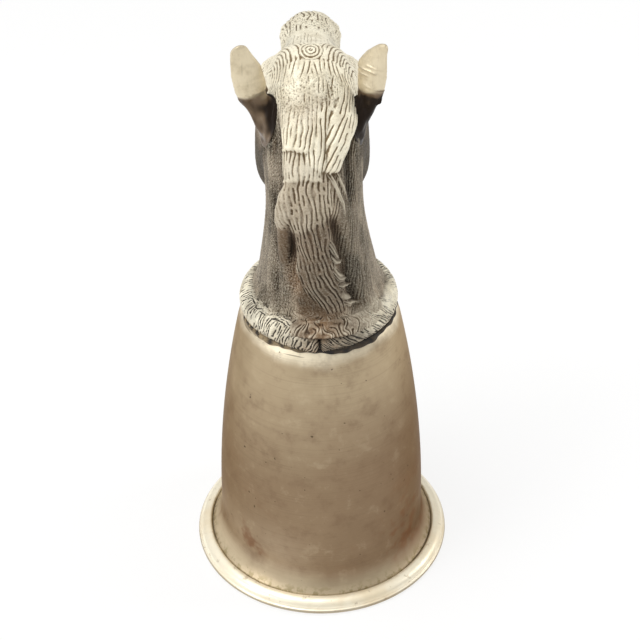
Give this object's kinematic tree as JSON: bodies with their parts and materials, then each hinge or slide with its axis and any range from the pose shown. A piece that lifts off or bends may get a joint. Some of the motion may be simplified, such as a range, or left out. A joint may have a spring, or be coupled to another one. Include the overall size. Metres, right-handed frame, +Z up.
{
  "type": "stirrup cup",
  "caption": "Stirrup cup: bell-shaped drinking cup that stands on its flared mouth, with a cast horse's head rising from a rolled hair collar on its crown",
  "frame": {"origin": "centre of the mouth on the plane that the rim stands on", "axes": "+Z up along the cup's axis, +Y the way the horse looks, +X the horse's right"},
  "size_m": [0.066, 0.0918, 0.1461],
  "materials": {
    "cup_metal": "satin silver plate, warm and lightly tarnished",
    "rim_metal": "pale polished silver plate",
    "solder": "dark oxidised solder",
    "hair_metal": "chased hair, dark patina in the strokes and worn bright on the ridges",
    "ear_metal": "smooth burnished silver plate"
  },
  "bodies": {
    "root": {"cup_shell": "cup_metal", "rim_ring": "rim_metal", "solder_seam": "solder", "collar": "hair_metal", "head_left": "hair_metal", "head_right": "hair_metal", "ear_left": "ear_metal", "ear_right": "ear_metal", "mane": "hair_metal"}
  },
  "joints": []
}
